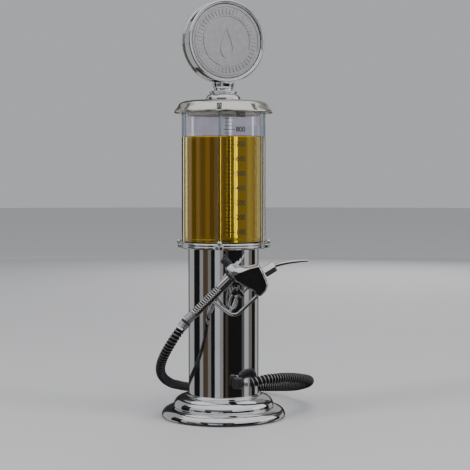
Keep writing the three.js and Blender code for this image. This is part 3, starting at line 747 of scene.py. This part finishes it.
def make_lid():
    lid = turned("lid_cover", [
        (3.3, 369.6), (51, 369.6), (51.3, 366), (53.5, 362.8), (55.6, 360.2), (56.4, 358.5), (57.3, 358.5),
        (57.8, 359.4), (57.6, 361), (56.5, 362.2), (56.4, 362.6), (55.2, 363.8), (53.4, 366.2),
        *arc(37.8, 367.4, 15, LID_TOP - 367.4, 12, 90, 14), (3.3, LID_TOP),
    ], "lid", LID, ["lid_shell"], 256, 0.3)
    tools = bmesh.new()
    for i in range(NOTCHES):
        turn = Matrix.Rotation(rad(RODS_TURN + 360 / NOTCHES * i), 4, "Z")
        place = turn @ Matrix.Translation(Vector(NOTCH_AT) * MM) @ Matrix.Diagonal((*NOTCH_SIZE, 1))
        bmesh.ops.create_cube(tools, size=1, matrix=place)
    cutter_mesh = bpy.data.meshes.new("notch_tool")
    tools.to_mesh(cutter_mesh)
    tools.free()
    cutter = bpy.data.objects.new("notch_tool", cutter_mesh)
    bpy.context.scene.collection.objects.link(cutter)
    modifier = lid.modifiers.new("notches", "BOOLEAN")
    modifier.operation = "DIFFERENCE"
    modifier.object = cutter
    modifier.solver = "EXACT"
    bpy.context.view_layer.update()
    cut = bpy.data.meshes.new_from_object(lid.evaluated_get(bpy.context.evaluated_depsgraph_get()))
    lid.modifiers.clear()
    lid.data = cut
    bpy.data.objects.remove(cutter)
    turned("lid_skirt", [
        (41, 355.5), (43, 355.5), (43, 362.3), (45, 362.3), (45, 369.3), (41, 369.3),
    ], "white", LID, ["lid_liner"], FINE, 0.4)
    turned("lid_ring", [(43.3, 361.3), (45, 361.3), (45, 362), (43.3, 362)], "silicone", LID, ["lid_seal"],
           FINE, 0.2)


# ---- round sign -----------------------------------------------------------------------------------

GLOBE = "globe"
GLOBE_R = 47.8
GLOBE_Z = 442.1
GLOBE_TURN = 22.5
GLOBE_PLACE = Matrix.Translation((0, 0, GLOBE_Z * MM)) @ Matrix.Rotation(rad(GLOBE_TURN), 4, "Z")


def block(bm, corners_low, corners_high):
    """A closed block between two outlines with the same number of corners."""
    low = [bm.verts.new(p) for p in corners_low]
    high = [bm.verts.new(p) for p in corners_high]
    bm.faces.new(low)
    bm.faces.new(list(reversed(high)))
    for k in range(len(low)):
        n = (k + 1) % len(low)
        bm.faces.new((low[k], high[k], high[n], low[n]))


def make_relief(name, side):
    """Plain radial bars between two fine rings, and a plain drop: low relief on the sign's face."""
    bm = bmesh.new()
    base, top = side * 10.6, side * 11.4
    for i in range(48):
        a = 360 / 48 * i
        edges = ((31.4, a - 1.7), (37.4, a - 1.7), (37.4, a + 1.7), (31.4, a + 1.7))
        flat = [(r * math.cos(rad(t)), r * math.sin(rad(t))) for r, t in edges]
        shrunk = [(x * 0.985, z * 0.985) for x, z in flat]
        block(bm, [Vector((x, base, z)) * MM for x, z in flat], [Vector((x, top, z)) * MM for x, z in shrunk])
    for inner, outer in ((28.6, 29.6), (39.4, 40.2)):
        revolve(bm, [(inner, base), (inner + 0.2, top), (outer - 0.2, top), (outer, base)], 96, "y")
    drop = [(0, 17)]
    for k in range(1, 30):
        t = math.pi * k / 30
        half_width = 11.5 * math.sin(t) * math.sin(t / 2) ** 1.6
        drop.append((-half_width, 17 * math.cos(t) - 1.2 * (1 - math.cos(t))))
    drop.append((0, -19.4))
    outline = drop + [(-x, z) for x, z in reversed(drop[1:-1])]
    inner = [(x * 0.86, z * 0.86 - 0.6) for x, z in outline]
    low, high = [], []
    for points, ring in ((outline, low), (inner, high)):
        for depth in (base, top):
            ring.append([bm.verts.new(Vector((x, depth, z)) * MM) for x, z in points])
    (out_base, out_top), (in_base, in_top) = low, high
    skinned(bm, [out_base, out_top, in_top, in_base], closed=True)
    finished(name, bm, "satin", GLOBE, (), smooth_angle=30, place=GLOBE_PLACE)


def make_globe():
    turned("neck_turned", [
        (2.9, 373.3), (20.4, 373.3), (20.4, 375.2), *arc(14.8, 375.2, 5.6, 5.3, 15, 90, 12), (14.8, 381.2),
        (16.2, 381.9), (16.2, 383.6), (14.6, 384.2), (10.8, 384.8), (10.8, 387.2), (12, 388.6), (12.7, 391),
        (12.7, 394), (10.5, 394.6), (2.9, 394.4),
    ], "chrome", GLOBE, ["neck"], MEDIUM, 0.6)
    turned("drum", [
        (44.4, -8.4), (45.4, -8.4), (45.4, -7.2), (46.2, -6.4), (46.2, 6.4), (45.4, 7.2), (45.4, 8.4),
        (44.4, 8.4),
    ], "chrome", GLOBE, ["globe_drum"], FINE, 0.3, "y", GLOBE_PLACE)
    for end, side in (("front", -1), ("rear", 1)):
        turned(f"{end}_rim", [(r, side * h) for r, h in [
            (40.6, 8.7), (47.2, 8.7), (GLOBE_R, 9.6), (GLOBE_R, 11.6), (46.8, 12.5), (45.6, 12.5),
            (45, 11.9), (44.5, 12.3), (43.8, 11.7), (43.4, 11.2), (43.4, 9), (40.6, 9),
        ]], "chrome", GLOBE, [f"{end}_bezel"], FINE, 0.4, "y", GLOBE_PLACE)
        turned(f"{end}_plate", [(r, side * h) for r, h in [
            (0, 9.3), (43, 9.3), (43, 10.2), (42.6, 10.6), (0, 10.6),
        ]], "satin", GLOBE, [f"{end}_face"], FINE, 0.3, "y", GLOBE_PLACE)
        make_relief(f"{end}_relief", side)


# ---- nozzle: x runs along the grip, z across it ---------------------------------------------------

NOZZLE = "nozzle"
NOZZLE_AT = (-41.5, -58, 120.6)
NOZZLE_RISE = 44  # how steeply the grip rises, in degrees
NOZZLE_PLACE = Matrix.Translation(Vector(NOZZLE_AT) * MM) @ Matrix.Rotation(rad(-NOZZLE_RISE), 4, "Y")
HEAD_OUTLINE = [
    (70.6, 6.4), (73.6, 12), (80.8, 12), (81, 6), (87.3, 1.8), (93.5, -4.6), (103.8, -10.4),
    (100.8, -19.8), (97.4, -30), (94.5, -35.2), (88.6, -38.2), (80.2, -38.4), (76, -35), (77.8, -27.5),
    (75.2, -23), (71.8, -10), (70.6, -6.4),
]
HEAD_FRONT = [  # the flat front face, inside the outline
    (73.2, 0.2), (75, -0.6), (78.6, -1.6), (81.6, -2.6), (87.4, -4.6), (92.6, -6.8), (101.6, -12),
    (99, -20.6), (95.8, -29.4), (93.2, -33.6), (88, -36.4), (80.8, -36.6), (77.8, -34.4), (79.6, -27.6),
    (77.2, -22.6),
    (73.8, -10.4), (72.6, -4.6),
]
HEAD_HALF = 9
BAR_SIDES = 20
BAR_POWER = 0.615
ROUTE_STEP = 0.0008  # metres between the sections of the guard and the spout


def inset(outline, distance):
    """The outline drawn in by the same distance all round."""
    count = len(outline)
    moved = []
    for i, point in enumerate(outline):
        along = (Vector(outline[(i + 1) % count]) - Vector(outline[i - 1])).normalized()
        moved.append(tuple(Vector(point) - Vector((-along.y, along.x)) * distance))
    return moved


def between(first, second, share):
    return [tuple(Vector(a).lerp(Vector(b), share)) for a, b in zip(first, second)]


def make_head():
    """Wide chamfers run from the flat front face out to the outline. The back has a small rounded edge."""
    layers = []
    for k in range(9):
        t = k / 8
        layers.append((-HEAD_HALF + 4.8 * t ** 1.25, between(HEAD_FRONT, HEAD_OUTLINE, t ** 0.8)))
    for k in range(7):
        a = rad(15 * k)
        layers.append((HEAD_HALF - 1.8 + 1.8 * math.sin(a), inset(HEAD_OUTLINE, 1.8 * (1 - math.cos(a)))))
    bm = bmesh.new()
    loops = []
    for w, outline in layers:
        rounded = eased(outline, 1.5, 4, True, True)
        loops.append([bm.verts.new(Vector((u, w, v)) * MM) for u, v in rounded])
    skinned(bm, loops)
    finished("nozzle_body", bm, "chrome", NOZZLE, ["nozzle_head"], smooth_angle=28, place=NOZZLE_PLACE)


def layered(name, outline, half, edge, look, body, nodes):
    """A thick plate with rounded edges."""
    bm = bmesh.new()
    arcs = [rad(90 * k / 6) for k in range(7)]
    layers = [(-half + edge * (1 - math.sin(a)), edge * (1 - math.cos(a))) for a in reversed(arcs)]
    layers += [(half - edge * (1 - math.sin(a)), edge * (1 - math.cos(a))) for a in arcs]
    loops = [[bm.verts.new(Vector((u, w, v)) * MM) for u, v in inset(outline, drawn)] for w, drawn in layers]
    skinned(bm, loops)
    finished(name, bm, look, body, nodes, smooth_angle=32, place=NOZZLE_PLACE)


def rounded_square(angle, power):
    """A point on a square of half side 1 with soft corners. A power of 1 makes it a circle."""
    x, y = math.cos(angle), math.sin(angle)
    return math.copysign(abs(x) ** power, x), math.copysign(abs(y) ** power, y)


def swept(bm, line, half_wide, half_deep, closed=False):
    """A bar of rounded section along a line in the nozzle's plane."""
    section = []
    for k in range(BAR_SIDES):
        x, y = rounded_square(2 * math.pi * k / BAR_SIDES, BAR_POWER)
        section.append((x * half_wide, y * half_deep))
    rings = []
    count = len(line)
    for i, point in enumerate(line):
        if closed:
            before, after = line[i - 1], line[(i + 1) % count]
        else:
            before, after = line[max(i - 1, 0)], line[min(i + 1, count - 1)]
        along = (Vector(after) - Vector(before)).normalized()
        out = Vector((-along.y, along.x))
        rings.append([
            bm.verts.new(Vector((point[0] + out.x * s, w, point[1] + out.y * s)) * MM) for s, w in section
        ])
    skinned(bm, rings, closed)


def spline_2d(points):
    line, _ = smooth_route([Vector((u, 0, v)) * MM for u, v in points], ROUTE_STEP)
    return [(p.x / MM, p.z / MM) for p in line]


def along_grip(u, v):
    return NOZZLE_PLACE @ (Vector((u, 0, v)) * MM)


def on_tail(distance):
    """A point on the hose's end, which leaves the grip at a slight angle."""
    turn = rad(9)
    return along_grip(-1.3 - distance * math.cos(turn), -0.4 - distance * math.sin(turn))


GRIP_START, GRIP_END, GRIP_STEP = 10.5, 68.61, 0.293
GRIP_SIDES = 40
GRIP_HALF = 5.6
GRIP_LIFT = 0.2
TAPER_LOW, TAPER_HIGH = 10.9, 68.2  # outside these the grip narrows
GROOVES_START, GROOVES_END = 12.3, 52.0
GROOVE_PITCH = 2.836
GROOVE_DEPTH = 1.2


def groove_share(u):
    """How deep into a groove the grip's surface is at u: 0 on a rib, 1 at the bottom."""
    return 0.5 - 0.5 * math.cos(2 * math.pi * (u - GROOVES_START) / GROOVE_PITCH)


def make_grip():
    """A bar with grooves over its upper edge, their bottoms painted black as shade, then its ribbed end, ring
    and ferrule down to the hose.
    """
    bm = bmesh.new()
    rings = []
    u = GRIP_START
    while u < GRIP_END:
        ring = []
        for k in range(GRIP_SIDES):
            x, y = rounded_square(2 * math.pi * k / GRIP_SIDES, 0.62)
            w = x * GRIP_HALF
            v = y * GRIP_HALF + GRIP_LIFT
            upper = min(1.0, max(0.0, (v + 0.5) / 3.0))
            groove = groove_share(u) if GROOVES_START < u < GROOVES_END else 0.0
            taper = max(0.0, TAPER_LOW - u, u - TAPER_HIGH)
            scale = 1 - (GROOVE_DEPTH * groove * upper + taper) / GRIP_HALF
            ring.append(bm.verts.new(Vector((u, w * scale, GRIP_LIFT + (v - GRIP_LIFT) * scale)) * MM))
        rings.append(ring)
        u += GRIP_STEP
    skinned(bm, rings)
    # Faces near the bottoms of the grooves, on the upper side, take black plastic: painted shade in the
    # chrome grooves.
    for face in bm.faces:
        middle = face.calc_center_median() / MM
        painted_shade_band = GROOVES_START < middle.x < GROOVES_END and middle.z > 0.8
        face.material_index = int(painted_shade_band and groove_share(middle.x) > 0.55)
    finished("grip_bar", bm, ["chrome", "black"], NOZZLE, ["nozzle_grip"], smooth_angle=40,
             place=NOZZLE_PLACE)

    fine_ribs = []
    for k in range(9):
        at = 0.5 + k * 1.1
        fine_ribs += [(5.1, at - 0.15), (5.55, at + 0.2), (5.55, at + 0.6), (5.1, at + 0.85)]
    turned("grip_lower_end", [(2.4, 0), (4.9, 0), *fine_ribs, (5.2, 10.2), (2.4, 10.2)], "satin", NOZZLE,
           ["grip_end"], SMALL, 0.1, place=aimed(along_grip(0, GRIP_LIFT), along_grip(10, GRIP_LIFT)))
    turned("grip_collar", [(2.4, 0), (5.7, 0), (6.1, 0.4), (6.1, 1.6), (5.7, 2), (2.4, 2)], "black", NOZZLE,
           ["grip_ring"], SMALL, 0.2, place=aimed(on_tail(2), on_tail(0)))
    turned("hose_end_ferrule", [
        (2.4, 0), (5.3, 0), (5.7, 0.4), (5.7, 2.4), (5.3, 2.8), (5.7, 3.2), (5.7, 6), (5.3, 6.5), (2.4, 6.5),
    ], "satin", NOZZLE, ["hose_ferrule"], SMALL, 0.2, place=aimed(on_tail(8.8), on_tail(0)))


def make_nozzle():
    make_head()
    turned("nozzle_cap", [
        (0, 0), (4.7, 0), (4.9, 0.4), (4.9, 2.2), (4.4, 2.6), (4.4, 3.2), (4.9, 3.6), (4.9, 9),
        (3.8, 10.2), (0, 10.2),
    ], "black", NOZZLE, ["valve_cap"], SMALL, 0.4, place=aimed(along_grip(78.4, 12.3), along_grip(78.4, 30)))
    make_grip()

    guard = spline_2d([(36.4, -6), (37.6, -13), (39, -23), (41, -30), (45.2, -34.2), (52, -35), (64, -35.2),
                       (76, -35.5)])
    bm = bmesh.new()
    swept(bm, guard, 2, 2.6)
    finished("guard_bar", bm, "chrome", NOZZLE, ["trigger_guard"], place=NOZZLE_PLACE)

    turn = rad(-12.6)
    length = 14.6

    def on_spout(distance):
        return along_grip(101 + distance * math.cos(turn), -21.75 + distance * math.sin(turn))

    nut_place = aimed(on_spout(0), on_spout(10)) @ Matrix.Rotation(rad(30), 4, "Z")
    turned("spout_nut", [
        (1.5, 0), (6.3, 0), (6.7, 0.5), (6.7, 13.4), (5.6, length), (1.5, length),
    ], "chrome", NOZZLE, ["spout_ferrule"], 6, 0.3, place=nut_place, smooth_angle=25)

    tip = [  # how far along and how high
        (0, 0), (1.2, 0.73), (5.8, 2.2), (12.6, 3.6), (20.2, 4.8), (29, 5.7), (37.8, 6.2),
    ]
    start = on_spout(length - 0.4)
    route, _ = smooth_route([start + Vector((run, 0, rise)) * MM for run, rise in tip], ROUTE_STEP)
    bm = bmesh.new()
    outer, inner = [], []
    for i, (point, (across, up)) in enumerate(zip(route, carried_frames(route))):
        radius = 2.1 - 0.95 * (i / (len(route) - 1)) ** 1.8
        for rings, r in ((outer, radius), (inner, radius - 0.45)):
            rings.append([
                bm.verts.new(point + (across * math.cos(a) + up * math.sin(a)) * r * MM)
                for a in (2 * math.pi * k / 24 for k in range(24))
            ])
    skinned(bm, [*outer, *reversed(inner)], closed=True)
    finished("spout_tube", bm, "chrome", NOZZLE, ["spout"])


def make_trigger():
    tilt = rad(38)
    middle_u, middle_v = 52.2, -21.2
    loop = []
    for k in range(64):
        a = 2 * math.pi * k / 64
        x, y = 8.1 * math.cos(a), 4.1 * math.sin(a)
        u = middle_u + x * math.cos(tilt) - y * math.sin(tilt)
        v = middle_v + x * math.sin(tilt) + y * math.cos(tilt)
        loop.append((u, v))
    bm = bmesh.new()
    swept(bm, loop, 1.4, 3, closed=True)
    finished("trigger_loop", bm, "chrome", "trigger", (), place=NOZZLE_PLACE)
    arm = [(57.2, -11.8), (65.6, -10.6), (68.6, -14), (67.4, -25), (63.6, -25), (62.4, -18.4), (59.3, -18.1),
           (56.6, -15.4)]
    layered("trigger_arm", eased(arm, 1.2, 4, True), 3, 0.5, "chrome", "trigger", ["trigger"])


# ---- the rest -------------------------------------------------------------------------------------


def dress_cad_nodes():
    """The CAD nodes that stay, mostly inside, take the material of their slot."""
    for row in frame["record"]["subparts"]:
        node = frame["nodes"][row["node"]]
        if node.hide_render:
            continue
        node.data.materials.clear()
        node.data.materials.append(MATERIALS[row["material_slot"]])


make_camera()
make_studio()
make_hose()
make_base()
make_outlet()
make_collar()
make_tank()
make_scale()
make_lid()
make_globe()
make_nozzle()
make_trigger()
dress_cad_nodes()
